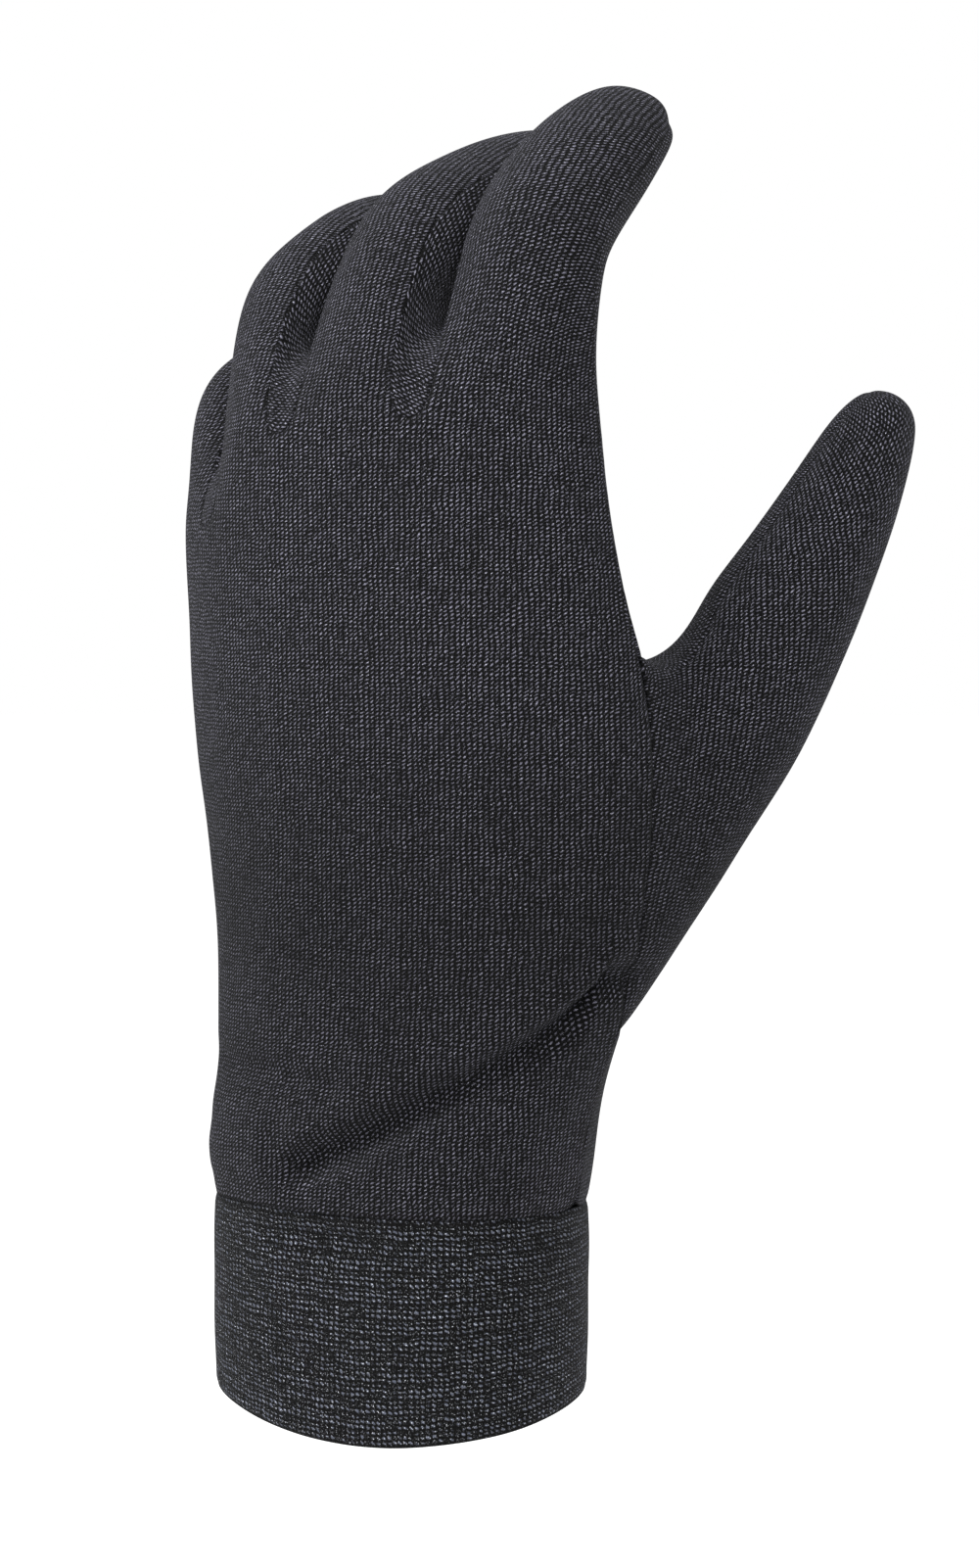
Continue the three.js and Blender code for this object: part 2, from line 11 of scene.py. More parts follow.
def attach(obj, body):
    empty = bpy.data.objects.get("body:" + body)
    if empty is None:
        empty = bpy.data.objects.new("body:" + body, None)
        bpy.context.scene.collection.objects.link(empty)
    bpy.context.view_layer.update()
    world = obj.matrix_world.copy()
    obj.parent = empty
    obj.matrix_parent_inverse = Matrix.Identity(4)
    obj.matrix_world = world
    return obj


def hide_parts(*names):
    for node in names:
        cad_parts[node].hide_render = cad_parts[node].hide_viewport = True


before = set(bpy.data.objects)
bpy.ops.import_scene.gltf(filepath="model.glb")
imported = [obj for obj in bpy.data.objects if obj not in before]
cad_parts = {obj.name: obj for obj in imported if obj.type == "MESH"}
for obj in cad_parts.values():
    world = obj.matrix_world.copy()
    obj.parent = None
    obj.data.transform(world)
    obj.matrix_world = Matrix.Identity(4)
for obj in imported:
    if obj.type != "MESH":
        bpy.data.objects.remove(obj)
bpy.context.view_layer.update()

MM = 0.001

# The camera of the photograph: where it stands round the glove, how many metres off, and where it points
AZIMUTH, ELEVATION, DISTANCE = math.radians(30), math.radians(3.4), 0.8
TARGET = Vector((0, 0, 0.118))
FRAME_HEIGHT = 36  # mm
FOCAL_LENGTH = 102.8  # mm, on a frame of that height
SHIFT = (0.0556, -0.0116)  # of the picture, as shares of the frame

# Real sizes of the cloth
WALE = 0.98 * MM  # one column of jersey stitches
COURSE = 0.72 * MM  # one row of them
RIB_COLUMN = 1.02 * MM  # one column of the cuff's stitches
RIB_ROW = 0.82 * MM  # one row of them
RIB_BAND = 2.46 * MM  # from one elastic row to the next
JERSEY_WALL = 0.9 * MM
CUFF_WALL = 1.8 * MM
CUFF_SEAM = 42 * MM  # the height of the seam between cuff and hand
HAND_LENGTH = 139.5 * MM

# How the sheets are taken from the CAD, smoothed and laid out flat
SAME_POINT = 1e-6  # corners nearer than this, in metres, are one
SAME_LENGTH = 5e-7  # an edge that leads through the wall is as long as the wall, to within this
LEVELS = 3  # of smoothing
SEAM_REACH = 0.11 * MM  # how far each border moves towards its neighbour
LAYING_ROUNDS = 60
SURE_OF_WAY = 0.75  # a face that has less than this of the wales' direction in it turns with its neighbours
FLAT_ROW = (Vector((-48, 0, 125)) * MM, Vector((60, 0, 125)) * MM)  # on the back of the hand
THUMB_SEAM = (Vector((49.3, 0.6, 138.4)) * MM, Vector((74.4, 36.9, 184.9)) * MM)
CUFF_CLOSING = (Vector((-35, 0, 42)) * MM, Vector((-35, 0, 3)) * MM)

# The strips between the fingers: how high each rounded end lies, in millimetres
INDEX_STRIP, RING_STRIP, LITTLE_STRIP = 183, 180, 162
ABOVE_STRIPS = 0.12  # of a seam's depth and darkness is left higher up

# What the knit is like, in the flat cloth's millimetres
COLUMN_DRIFT = 0.9
STITCH_JITTER = 0.12
YARN_TONE = 0.4
STITCHING_GLINTS = 0.04
# painted shade over the lower hand: the most it takes off the colour
PAINTED_LOWER_HAND_SHADE = -0.42
SEAM_SHADE = -0.55
BUMP_HEIGHT = 0.3 * MM

FLOOR_LEVEL, FLOOR_RADIUS = -0.16, 6


def linear(hex_colour):
    """An sRGB hex colour as linear RGBA."""
    parts = [int(hex_colour[i:i + 2], 16) / 255 for i in (1, 3, 5)]
    return tuple(c / 12.92 if c <= 0.04045 else ((c + 0.055) / 1.055) ** 2.4 for c in parts) + (1.0,)


def only(*objects):
    """Selects these objects alone, the first one active."""
    bpy.ops.object.select_all(action="DESELECT")
    for o in objects:
        o.select_set(True)
    bpy.context.view_layer.objects.active = objects[0]


def apply(o, kind, **settings):
    """Adds a modifier to o and applies it."""
    only(o)
    modifier = o.modifiers.new(kind.lower(), kind)
    for name, value in settings.items():
        setattr(modifier, name, value)
    bpy.ops.object.modifier_apply(modifier=modifier.name)


def points_of(o):
    """The points of a mesh, one row each."""
    co = np.empty(len(o.data.vertices) * 3)
    o.data.vertices.foreach_get("co", co)
    return co.reshape(-1, 3)


def normals_of(o):
    """The normals at those points."""
    no = np.empty(len(o.data.vertices) * 3)
    o.data.vertex_normals.foreach_get("vector", no)
    return no.reshape(-1, 3)


def move_points(o, co):
    """Puts the points of a mesh where the rows of co say."""
    o.data.vertices.foreach_set("co", co.ravel())
    o.data.update()


def outer_skin(node, name, wall):
    """The outside of a CAD wall as a new sheet of four-cornered faces."""
    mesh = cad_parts[node].data.copy()
    mesh.name = name
    o = bpy.data.objects.new(name, mesh)
    bpy.context.scene.collection.objects.link(o)
    bm = bmesh.new()
    bm.from_mesh(mesh)
    bmesh.ops.remove_doubles(bm, verts=bm.verts, dist=SAME_POINT)
    through = {e for e in bm.edges if abs(e.calc_length() - wall) < SAME_LENGTH}
    rim = [f for f in bm.faces if through.intersection(f.edges)]
    bmesh.ops.delete(bm, geom=rim, context="FACES")
    layers = loose_parts(bm)
    outside = set(max(layers, key=lambda faces: sum(f.calc_area() for f in faces)))
    bmesh.ops.delete(bm, geom=[f for f in bm.faces if f not in outside], context="FACES")
    bmesh.ops.join_triangles(bm, faces=bm.faces, angle_face_threshold=3.14, angle_shape_threshold=3.14)
    bm.to_mesh(mesh)
    bm.free()
    return o


def loose_parts(bm):
    """The faces of a mesh in groups that hang together."""
    groups, seen = [], set()
    for start in bm.faces:
        if start in seen:
            continue
        group, queue = [], [start]
        seen.add(start)
        while queue:
            face = queue.pop()
            group.append(face)
            for beside in {f for edge in face.edges for f in edge.link_faces} - seen:
                seen.add(beside)
                queue.append(beside)
        groups.append(group)
    return groups


def border_of(mesh):
    """The points on the border of a sheet."""
    uses = {}
    for face in mesh.polygons:
        for key in face.edge_keys:
            uses[key] = uses.get(key, 0) + 1
    return {i for key, n in uses.items() if n == 1 for i in key}


def seam_distance(o):
    """How far each point of a sheet is from its border or from a seam that closes it."""
    co = points_of(o)
    border = sorted(border_of(o.data) | {i for edge in o.data.edges if edge.use_seam for i in edge.vertices})
    tree = KDTree(len(border))
    for k, i in enumerate(border):
        tree.insert(co[i], k)
    tree.balance()
    return np.array([tree.find(p)[2] for p in co])


def straight_line(bm, start, end):
    """The edges that run straight from the border at start to end, or to the border on the other side."""
    verts = sorted(bm.verts, key=lambda v: (v.co - start).length)
    vert = next(v for v in verts if v.is_boundary)
    last = min(bm.verts, key=lambda v: (v.co - end).length)
    edge = next(e for e in vert.link_edges if not e.is_boundary)
    line = []
    while True:
        line.append(edge)
        vert = edge.other_vert(vert)
        if vert is last or vert.is_boundary:
            return line
        edge = next(e for e in vert.link_edges if not set(e.link_faces) & set(edge.link_faces))


def mark_closing_seam(o, start, end):
    """Marks the line of edges from start to end, where a tube is sewn shut."""
    bm = bmesh.new()
    bm.from_mesh(o.data)
    for edge in straight_line(bm, start, end):
        edge.seam = True
    bm.to_mesh(o.data)
    bm.free()


def leave_out_row(o, start, end):
    """Joins two rows of faces where the cloth is nearly flat, to keep the piece light."""
    bm = bmesh.new()
    bm.from_mesh(o.data)
    bmesh.ops.dissolve_edges(bm, edges=straight_line(bm, start, end), use_verts=True)
    bm.to_mesh(o.data)
    bm.free()


def near(distance, width):
    """1 at no distance, falling away smoothly over the width."""
    return np.exp(-(distance / width) ** 2)


def lay_along(o, way):
    """Lays the sheet out flat, in metres, so that its wales run the way that is asked for at each place.

    Each face says how far apart its corners should lie, and the corners are placed to suit all of them best.
    """
    co = points_of(o)
    ties = np.zeros((len(co), len(co)))
    starts, ends, steps, faces, sure = [], [], [], [], []
    for face in o.data.polygons:
        normal = np.array(face.normal)
        up = way(face.center)
        up = up - normal * (up @ normal)
        sure.append(np.linalg.norm(up) > SURE_OF_WAY)
        up /= np.linalg.norm(up)
        across = np.cross(up, normal)
        for a, b in combinations(face.vertices, 2):
            step = co[b] - co[a]
            starts.append(a)
            ends.append(b)
            steps.append(complex(across @ step, up @ step))
            faces.append(face.index)
            ties[a, a] += 1
            ties[b, b] += 1
            ties[a, b] -= 1
            ties[b, a] -= 1
    ties[0, 0] += 1
    spread = np.linalg.inv(ties)
    steps, faces = np.array(steps), np.array(faces)
    turns = np.ones(len(sure), complex)
    for _ in range(LAYING_ROUNDS):
        pull = np.zeros(len(co), complex)
        np.add.at(pull, ends, steps * turns[faces])
        np.subtract.at(pull, starts, steps * turns[faces])
        flat = spread @ pull
        # A face that looks along the wales, as at a fingertip, turns with its neighbours instead
        found = np.zeros(len(sure), complex)
        np.add.at(found, faces, (flat[ends] - flat[starts]) * steps.conj())
        turns = np.where(sure, 1, found / np.maximum(np.abs(found), 1e-12))
    uv = np.stack((flat.real, flat.imag), axis=1)
    layer = o.data.uv_layers.new(name="UVMap")
    layer.data.foreach_set("uv", uv[[loop.vertex_index for loop in o.data.loops]].ravel())
    return smallest_rectangle(uv)


def smallest_rectangle(uv):
    """The sides of the smallest rectangle that holds the flat sheet, turned as it fits best."""
    sides = []
    for a in np.radians(range(0, 90, 3)):
        turned = np.array(((math.cos(a), -math.sin(a)), (math.sin(a), math.cos(a))))
        sides.append(np.ptp(uv @ turned, axis=0))
    return min(sides, key=np.prod)


def unfold(o, upright):
    """Lays the sheet out flat with little stretch, in metres.

    upright picks, by their normals, the faces on which the wales run along +Z.
    """
    only(o)
    bpy.ops.object.mode_set(mode="EDIT")
    bpy.ops.mesh.select_all(action="SELECT")
    bpy.ops.uv.unwrap(method="MINIMUM_STRETCH", iterations=20, fill_holes=False, margin=0)
    bpy.ops.object.mode_set(mode="OBJECT")
    mesh = o.data
    uv = np.empty(len(mesh.loops) * 2)
    mesh.uv_layers.active.data.foreach_get("uv", uv)
    uv = uv.reshape(-1, 2)
    co = points_of(o)
    flat_area, area, turn = 0.0, 0.0, np.zeros(2)
    for face in mesh.polygons:
        loops, corners = list(face.loop_indices), list(face.vertices)
        across = uv[loops[2]] - uv[loops[0]], uv[loops[-1]] - uv[loops[1]]
        flat_area += abs(across[0][0] * across[1][1] - across[0][1] * across[1][0]) / 2
        area += face.area
        if upright(face.normal):
            ways = np.array([co[corners[2]] - co[corners[0]], co[corners[-1]] - co[corners[1]]])
            up = np.array((0, 0, 1.0)) - np.array(face.normal) * face.normal.z
            shares = np.linalg.lstsq(ways.T, up, rcond=None)[0]
            turn += (shares[0] * across[0] + shares[1] * across[1]) * face.area
    turn /= np.linalg.norm(turn)
    scale = math.sqrt(area / flat_area)
    uv = np.stack((uv @ np.array((turn[1], -turn[0])), uv @ turn), axis=1) * scale
    mesh.uv_layers.active.data.foreach_set("uv", uv.ravel())
    return smallest_rectangle(uv)


def unroll(o):
    """Lays a tube round +Z out flat, in metres: across is the way round it, up the way between its rims."""
    co = points_of(o)
    angle = np.arctan2(co[:, 1], co[:, 0])
    border = np.array(sorted(border_of(o.data)))
    middle = co[:, 2].mean()
    rims = (border[co[border, 2] < middle], border[co[border, 2] > middle])
    foot, rim = (r[np.argsort(angle[r])] for r in rims)
    low = np.interp(angle, angle[foot], co[foot, 2], period=2 * np.pi)
    high = np.interp(angle, angle[rim], co[rim, 2], period=2 * np.pi)
    steps = np.linalg.norm(np.diff(co[rim, :2], axis=0, append=co[rim[:1], :2]), axis=1)
    along = np.concatenate(((0,), np.cumsum(steps)[:-1]))
    round_it = steps.sum()
    u = np.interp(angle, angle[rim], along, period=2 * np.pi)
    v = (co[:, 2] - low) / (high - low) * (high - low).mean()
    mesh = o.data
    layer = mesh.uv_layers.new(name="UVMap")
    for face in mesh.polygons:
        us = np.array([u[mesh.loops[k].vertex_index] for k in face.loop_indices])
        us = np.where(us < us.max() - round_it / 2, us + round_it, us)
        for k, value in zip(face.loop_indices, us):
            layer.data[k].uv = (value, v[mesh.loops[k].vertex_index])
    return round_it, (high - low).mean()


def wrist_folds(co):
    """How far the cloth stands out at the wrist: soft folds, and the crease that slants across its back."""
    angle = np.degrees(np.arctan2(co[:, 0], -co[:, 1]))
    rise = (co[:, 2] - CUFF_SEAM) / HAND_LENGTH
    out = np.zeros(len(co))
    # Each fold runs from one angle to another, in degrees, and from one height to another, in shares of the
    # hand's length. Its bow bends it, and its depth and width are in millimetres.
    for start, end, low, high, bow, depth, width in (
        (82, -12, 0.285, 0.05, 0.56, 3.5, 3.1),
        (74, 8, 0.17, 0.05, 0.8, 0.35, 3.0),
        (-2, -60, 0.15, 0.172, 1.0, 0.9, 2.0),
        (-20, -80, 0.06, 0.09, 1.0, 0.3, 3.0),
        (60, -30, 0.42, 0.3, 1.0, 0.3, 6.0),
        (-35, -95, 0.065, 0.065, 1.0, -0.9, 7.0),
    ):
        share = (angle - start) / (end - start)
        level = low + (high - low) * np.clip(share, 0, None) ** bow
        away = (rise - level) * HAND_LENGTH / (width * MM)
        past = np.maximum(0, np.maximum(-share, share - 1)) / 0.1
        out += depth * MM * near(past, 1) * (0.3 * near(away - 1.7, 1) - near(away, 1))
    return out * np.clip(rise / 0.03, 0, 1)


def waves(co, size, seed):
    """A smooth random height, about -1 to 1, with hills as wide as size."""
    return np.array([noise.noise(Vector(p) / size + Vector((seed, 0, 0))) for p in co])


def close_seams(o, reach):
    """Moves the border of a sheet outward in its own surface, so that neighbouring pieces nearly touch."""
    co, normals = points_of(o), normals_of(o)
    border = border_of(o.data)
    inward = np.zeros_like(co)
    for edge in o.data.edges:
        a, b = edge.vertices
        if (a in border) != (b in border):
            rim, inner = (a, b) if a in border else (b, a)
            inward[rim] += co[inner] - co[rim]
    inward -= normals * (inward * normals).sum(axis=1)[:, None]
    length = np.linalg.norm(inward, axis=1)[:, None]
    move_points(o, co - reach * inward / np.where(length > 0, length, 1))


def end_of_strip(x, z):
    """1 below and at the strips' rounded ends, falling away higher up. x and z are in millimetres."""
    level = np.select([x > -1, x > -26], [INDEX_STRIP, RING_STRIP], LITTLE_STRIP)
    return ABOVE_STRIPS + (1 - ABOVE_STRIPS) * np.clip((level + 9 - z) / 6, 0, 1)


def seam_marks(co, edge):
    """How much each point has of a seam's dark line, of a strip's stitching and of the painted shade that
    darkens the lower hand.
    """
    x, y, z = co.T / MM
    plain = end_of_strip(x, z)
    strip_end = (np.abs(x) < 38) & (y < 2) & (z > 150)
    below_thumb = (x > 26) & (z > 45) & (z < 72)
    line = np.select([below_thumb, x > 26], [0.1, 0.4], plain) * near(edge, 0.34 * MM)
    stitched = plain * strip_end * near(edge / MM - 0.75, 0.32)
    # Painted shade: darkest about 90 mm up the hand, with the wrist's crease, none above 140 mm or below 10
    # mm
    painted_lower_hand_shade = np.clip((140 - z) / 50, 0, 1) * np.clip((z - 10) / 85, 0, 1)
    return {"seam_line": line, "stitching": stitched, "painted_lower_hand_shade": painted_lower_hand_shade}


def cloth(node, name, wall, lay, shape):
    """One sewn piece of the glove: the CAD skin made smooth, folded and given its thickness again."""
    o = outer_skin(node, name, wall)
    flat = lay(o)
    apply(o, "SUBSURF", levels=LEVELS, render_levels=LEVELS)
    edge = seam_distance(o)
    close_seams(o, SEAM_REACH)
    co, normals = points_of(o), normals_of(o)
    move_points(o, co + normals * shape(co, edge)[:, None])
    for mark, values in seam_marks(co, edge).items():
        o.data.attributes.new(mark, "FLOAT", "POINT").data.foreach_set("value", values)
    apply(o, "SOLIDIFY", thickness=wall, offset=-1, use_even_offset=False)
    o.data.shade_smooth()
    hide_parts(node)
    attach(o, "root")
    return o


def jersey_shape(co, edge):
    """Folds of the wrist, slight waves, the ring finger's bent joint, and cloth drawn in at its seams."""
    x, z = co[:, 0] / MM, co[:, 2] / MM
    plain = end_of_strip(x, z)
    seam = 0.15 * MM * plain * near(edge, 0.7 * MM)
    pucker = 0.07 * MM * waves(co, 2.4 * MM, 7) * plain * near(edge, 2.2 * MM)
    ring_joint = 1.5 * MM * near(x + 19, 6.5) * np.clip((z - 206) / 10, 0, 1)
    return wrist_folds(co) + 0.2 * MM * waves(co, 16 * MM, 3) + ring_joint + pucker - seam


def strip_shape(co, edge):
    """A strip between two fingers sinks into a groove from its rounded end up to the crotch."""
    y, z = co[:, 1] / MM, co[:, 2] / MM
    groove = np.clip(edge / (2.6 * MM), 0, 1) * np.clip((6 - y) / 6, 0, 1) * np.clip((208 - z) / 8, 0, 1)
    return jersey_shape(co, edge) - 0.9 * MM * groove


def cuff_shape(co, edge):
    """The cuff lies level with the hand, rounds at its edges and has two shallow hollows under the seam."""
    angle = np.degrees(np.arctan2(co[:, 0], -co[:, 1]))
    height = co[:, 2] / MM
    hollow = 1.6 * np.exp(-(angle / 24) ** 2 - ((height - 36) / 2.6) ** 2)
    hollow += 0.6 * np.exp(-((angle - 74) / 22) ** 2 - ((height - 37) / 3.0) ** 2)
    seam = 0.3 * MM * near(edge, 0.7 * MM)
    return 0.02 * MM - seam - hollow * MM + 0.22 * MM * waves(co, 13 * MM, 5)


def up_the_hand(place):
    """The wales run upright on the hand and turn over with the curled fingers."""
    lean = math.radians(52) * min(1, max(0, (place.z - 180 * MM) / (28 * MM)))
    return np.array((0, math.sin(lean), math.cos(lean)))


def facing_front(normal):
    return normal.y < -0.3


def on_strip(normal):
    return normal.x > 0.3


def lay_hand(o):
    if o.name == "back_of_hand":
        leave_out_row(o, *FLAT_ROW)
    return lay_along(o, up_the_hand)


def lay_strip(o):
    return unfold(o, on_strip)


def lay_thumb(o):
    mark_closing_seam(o, *THUMB_SEAM)
    return unfold(o, facing_front)


def lay_cuff(o):
    mark_closing_seam(o, *CUFF_CLOSING)
    return unroll(o)


def add(tree, kind, settings, links):
    """Adds a node with its settings. A link's value is a number, a colour, or what feeds that input."""
    node = tree.nodes.new(kind)
    for key, value in settings.items():
        setattr(node, key, value)
    for key, value in links.items():
        if isinstance(value, bpy.types.Node):
            tree.links.new(value.outputs[0], node.inputs[key])
        elif isinstance(value, bpy.types.NodeSocket):
            tree.links.new(value, node.inputs[key])
        else:
            node.inputs[key].default_value = value
    return node


def new_material(name):
    material = bpy.data.materials.new(name)
    material.use_nodes = True
    material.node_tree.nodes.clear()
    return material, material.node_tree


def knit_material(name, column, row, slant, uneven, dark, middle, light, glint_colour, bands):
    """A matte knit of spun polyester and elastane, its stitches drawn in the flat cloth's millimetres."""
    material, tree = new_material(name)
    uv = add(tree, "ShaderNodeUVMap", {"uv_map": "UVMap"}, {})
    flat = add(tree, "ShaderNodeVectorMath", {"operation": "SCALE"}, {0: uv, "Scale": 1000})

    # The columns wander a little, as knitted cloth does when it is worn
    drift = add(tree, "ShaderNodeTexNoise", {"noise_dimensions": "2D"},
                {"Vector": flat, "Scale": 0.25, "Detail": 2.0})
    drift = add(tree, "ShaderNodeVectorMath", {"operation": "MULTIPLY_ADD"},
                {0: drift.outputs["Color"], 1: (COLUMN_DRIFT, COLUMN_DRIFT, 0),
                 2: (-COLUMN_DRIFT / 2, -COLUMN_DRIFT / 2, 0)})
    place = add(tree, "ShaderNodeVectorMath", {"operation": "ADD"}, {0: flat, 1: drift})
    jitter = add(tree, "ShaderNodeTexNoise", {"noise_dimensions": "2D"},
                 {"Vector": flat, "Scale": 1.3, "Detail": 1.0})
    jitter = add(tree, "ShaderNodeVectorMath", {"operation": "MULTIPLY_ADD"},
                 {0: jitter.outputs["Color"], 1: (STITCH_JITTER, STITCH_JITTER, 0),
                  2: (-STITCH_JITTER / 2, -STITCH_JITTER / 2, 0)})
    place = add(tree, "ShaderNodeVectorMath", {"operation": "ADD"}, {0: place, 1: jitter})

    # One slanting stitch leg in each column and row
    stitch = add(tree, "ShaderNodeVectorMath", {"operation": "DIVIDE"},
                 {0: place, 1: (column / MM, row / MM, 1)})
    stitch = add(tree, "ShaderNodeSeparateXYZ", {}, {0: stitch})
    across = add(tree, "ShaderNodeMath", {"operation": "FRACT"}, {0: stitch.outputs[0]})
    up = add(tree, "ShaderNodeMath", {"operation": "MULTIPLY_ADD"},
             {0: across, 1: slant, 2: stitch.outputs[1]})
    column_number = add(tree, "ShaderNodeMath", {"operation": "FLOOR"}, {0: stitch.outputs[0]})
    row_number = add(tree, "ShaderNodeMath", {"operation": "ROUND"}, {0: up})
    which = add(tree, "ShaderNodeCombineXYZ", {}, {0: column_number, 1: row_number})
    chance = add(tree, "ShaderNodeTexWhiteNoise", {"noise_dimensions": "2D"}, {"Vector": which})
    across = add(tree, "ShaderNodeMath", {"operation": "MULTIPLY"}, {0: across, 1: math.pi})
    up = add(tree, "ShaderNodeMath", {"operation": "MULTIPLY"}, {0: up, 1: 2 * math.pi})
    ridge = add(tree, "ShaderNodeMath", {"operation": "SINE"}, {0: across})
    leg = add(tree, "ShaderNodeMath", {"operation": "COSINE"}, {0: up})
    leg = add(tree, "ShaderNodeMath", {"operation": "MULTIPLY_ADD"}, {0: leg, 1: 0.5, 2: 0.5})
    height = add(tree, "ShaderNodeMath", {"operation": "MULTIPLY"}, {0: ridge, 1: leg})
    if bands:
        rows = add(tree, "ShaderNodeSeparateXYZ", {}, {0: place})
        rows = add(tree, "ShaderNodeMath", {"operation": "DIVIDE"}, {0: rows.outputs[1], 1: bands / MM})
        rows = add(tree, "ShaderNodeMath", {"operation": "PINGPONG"}, {0: rows, 1: 0.5})
        rows = add(tree, "ShaderNodeMapRange", {"interpolation_type": "SMOOTHSTEP"},
                   {"Value": rows, "From Min": 0.03, "From Max": 0.12, "To Min": 0.45, "To Max": 1.0})
        height = add(tree, "ShaderNodeMath", {"operation": "MULTIPLY"}, {0: height, 1: rows})

    # Yarn is uneven, and single fibres catch the light
    yarn = add(tree, "ShaderNodeTexNoise", {"noise_dimensions": "2D"},
               {"Vector": flat, "Scale": 2.7, "Detail": 3.0, "Roughness": 0.6})
    tone = add(tree, "ShaderNodeMath", {"operation": "MULTIPLY_ADD"},
               {0: yarn, 1: YARN_TONE, 2: -YARN_TONE / 2})
    lively = add(tree, "ShaderNodeMath", {"operation": "MULTIPLY_ADD"},
                 {0: chance, 1: uneven, 2: 1 - uneven / 2})
    lively = add(tree, "ShaderNodeMath", {"operation": "MULTIPLY"}, {0: height, 1: lively})
    tone = add(tree, "ShaderNodeMath", {"operation": "ADD"}, {0: lively, 1: tone})
    stitched = add(tree, "ShaderNodeAttribute", {"attribute_name": "stitching"}, {})
    glints = add(tree, "ShaderNodeTexNoise", {"noise_dimensions": "2D"},
                 {"Vector": flat, "Scale": 4.2, "Detail": 2.0, "Roughness": 0.7})
    glints = add(tree, "ShaderNodeMath", {"operation": "MULTIPLY_ADD"},
                 {0: stitched.outputs["Fac"], 1: STITCHING_GLINTS, 2: glints})
    glints = add(tree, "ShaderNodeMapRange", {}, {"Value": glints, "From Min": 0.62, "From Max": 0.76})
    glints = add(tree, "ShaderNodeMath", {"operation": "MULTIPLY"}, {0: glints, 1: height})
    # Painted shade and highlight: the stitch relief also sets the colour, black in the gaps between stitches
    # and paler on their crests, and darker in the rib's elastic grooves
    ramp = add(tree, "ShaderNodeValToRGB", {}, {0: tone})
    stops = ramp.color_ramp.elements
    stops[0].position, stops[0].color = 0.2, linear(dark)
    stops[1].position, stops[1].color = 1.0, linear(light)
    stops.new(0.58).color = linear(middle)
    # Painted highlights: bright specks on the stitches where single fibres would catch the light, more of
    # them along the strips' stitching
    colour = add(tree, "ShaderNodeMix", {"data_type": "RGBA"}, {"Factor": glints, 6: ramp, 7: linear(glint_colour)})

    # The cloth is paler in places at random, darker over the lower hand and the wrist's crease by painted
    # shade, and dark along its seams
    patches = add(tree, "ShaderNodeTexNoise", {"noise_dimensions": "2D"},
                  {"Vector": flat, "Scale": 0.06, "Detail": 3.0})
    patches = add(tree, "ShaderNodeMapRange", {},
                  {"Value": patches, "From Min": 0.35, "From Max": 0.65, "To Min": 0.92, "To Max": 1.08})
    seam = add(tree, "ShaderNodeAttribute", {"attribute_name": "seam_line"}, {})
    painted_lower_hand_shade = add(tree, "ShaderNodeAttribute", {"attribute_name": "painted_lower_hand_shade"}, {})
    shade = add(tree, "ShaderNodeMath", {"operation": "MULTIPLY_ADD"},
                {0: painted_lower_hand_shade.outputs["Fac"], 1: PAINTED_LOWER_HAND_SHADE, 2: patches})
    shade = add(tree, "ShaderNodeMath", {"operation": "MULTIPLY_ADD"},
                {0: seam.outputs["Fac"], 1: SEAM_SHADE, 2: shade})
    colour = add(tree, "ShaderNodeVectorMath", {"operation": "SCALE"},
                 {0: colour.outputs[2], "Scale": shade})

    relief = add(tree, "ShaderNodeMath", {"operation": "MULTIPLY_ADD"}, {0: yarn, 1: 0.5, 2: height})
    bump = add(tree, "ShaderNodeBump", {}, {"Strength": 1.0, "Distance": BUMP_HEIGHT, "Height": relief})
    shader = add(tree, "ShaderNodeBsdfPrincipled", {}, {
        "Base Color": colour, "Normal": bump, "Roughness": 0.9, "IOR": 1.5, "Specular IOR Level": 0.08,
        "Sheen Weight": 0.03, "Sheen Roughness": 0.4, "Sheen Tint": linear("#c4c6cc")})
    add(tree, "ShaderNodeOutputMaterial", {}, {"Surface": shader})
    return material


# Fine single jersey of polyester and elastane: charcoal, one slanting stitch leg to a column
JERSEY = knit_material("charcoal_single_jersey", column=WALE, row=COURSE, slant=-0.85, uneven=0.4,
                       dark="#000000", middle="#08080b", light="#504f5a", glint_colour="#b0b0bc", bands=None)
# Rib knit of the cuff: near-black, coarser stitches, and a groove where each elastic row is laid in
RIB = knit_material("black_inlay_rib_knit", column=RIB_COLUMN, row=RIB_ROW, slant=0.4, uneven=1.2,
                    dark="#000000", middle="#060609", light="#3e414b", glint_colour="#eceff8", bands=RIB_BAND)

JERSEY_PIECES = (
    ("back_panel", "back_of_hand", lay_hand, jersey_shape),
    ("palm_panel", "palm_of_hand", lay_hand, jersey_shape),
    ("fourchette_little_ring", "strip_little_ring", lay_strip, jersey_shape),
    ("fourchette_ring_middle", "strip_ring_middle", lay_strip, strip_shape),
    ("fourchette_middle_index", "strip_middle_index", lay_strip, strip_shape),
    ("thumb", "thumb_piece", lay_thumb, jersey_shape),
)
PIECES = [cloth(node, name, JERSEY_WALL, lay, shape)
          for node, name, lay, shape in JERSEY_PIECES]
PIECES.append(cloth("cuff", "wrist_cuff", CUFF_WALL, lay_cuff, cuff_shape))
for piece in PIECES:
    piece.data.materials.clear()
    piece.data.materials.append(RIB if piece.name == "wrist_cuff" else JERSEY)

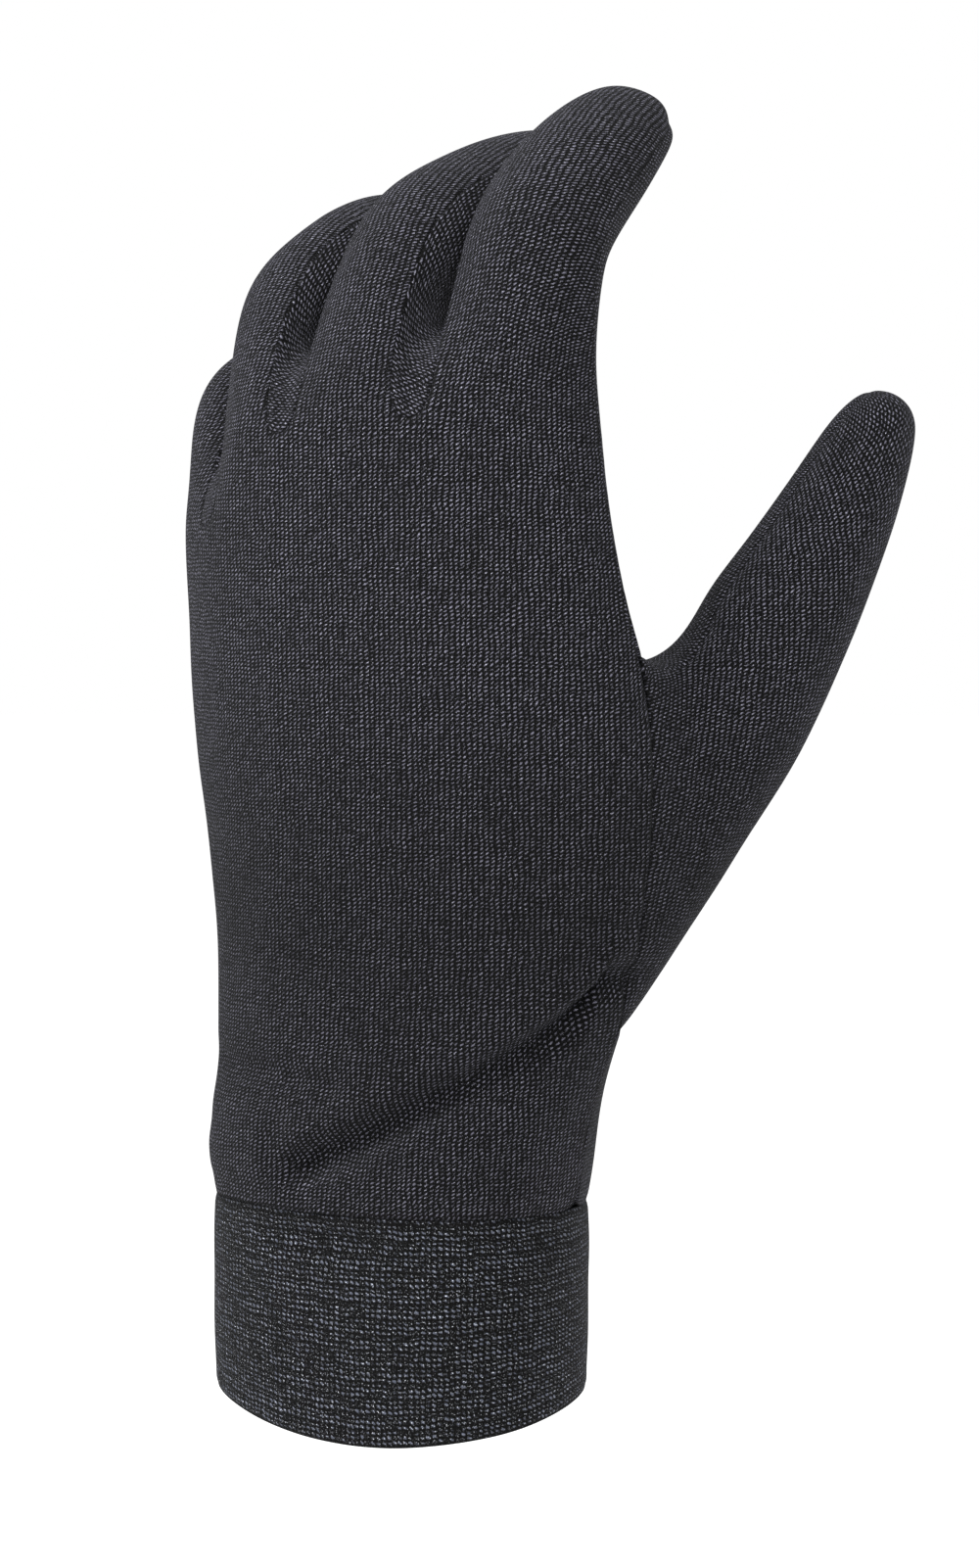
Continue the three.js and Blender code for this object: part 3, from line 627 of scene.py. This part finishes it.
bpy.ops.mesh.primitive_circle_add(vertices=96, radius=FLOOR_RADIUS, fill_type="NGON",
                                  location=(0, 0, FLOOR_LEVEL))
floor = bpy.context.active_object
floor.name = "floor"
pale, tree = new_material("pale_floor")
shader = add(tree, "ShaderNodeBsdfPrincipled", {}, {
    "Base Color": linear("#f4f4f4"), "Roughness": 1.0, "Specular IOR Level": 0.0,
    "Emission Color": linear("#ffffff"), "Emission Strength": 0.14})
add(tree, "ShaderNodeOutputMaterial", {}, {"Surface": shader})
floor.data.materials.append(pale)

world = bpy.data.worlds.new("studio")
world.use_nodes = True
world.node_tree.nodes["Background"].inputs["Color"].default_value = (1, 1, 1, 1)
world.node_tree.nodes["Background"].inputs["Strength"].default_value = 1.0
bpy.context.scene.world = world
bpy.context.scene.view_settings.view_transform = "Standard"


def soft_light(name, place, aim, size, power):
    """A square soft box at that place, in metres, turned to its aim. power is in watts."""
    light = bpy.data.lights.new(name, "AREA")
    light.size = size
    light.energy = power
    o = bpy.data.objects.new(name, light)
    o.location = place
    o.rotation_euler = (Vector(aim) - Vector(place)).to_track_quat("-Z", "Y").to_euler()
    bpy.context.scene.collection.objects.link(o)


soft_light("key_light", place=(-0.32, -0.48, 0.63), aim=(0, 0, 0.17), size=0.3, power=10)
soft_light("fill_light", place=(0.6, -0.8, 0.7), aim=(0, 0, 0.15), size=0.6, power=20)

camera = bpy.data.cameras.new("photo_camera")
camera.sensor_fit = "VERTICAL"
camera.sensor_height = FRAME_HEIGHT
camera.lens = FOCAL_LENGTH
camera.shift_x, camera.shift_y = SHIFT
camera.clip_start, camera.clip_end = 0.01, 50
eye = bpy.data.objects.new("photo_camera", camera)
back = Vector((math.sin(AZIMUTH) * math.cos(ELEVATION),
               -math.cos(AZIMUTH) * math.cos(ELEVATION),
               math.sin(ELEVATION)))
eye.location = TARGET + back * DISTANCE
eye.rotation_euler = (-back).to_track_quat("-Z", "Y").to_euler()
bpy.context.scene.collection.objects.link(eye)
bpy.context.scene.camera = eye
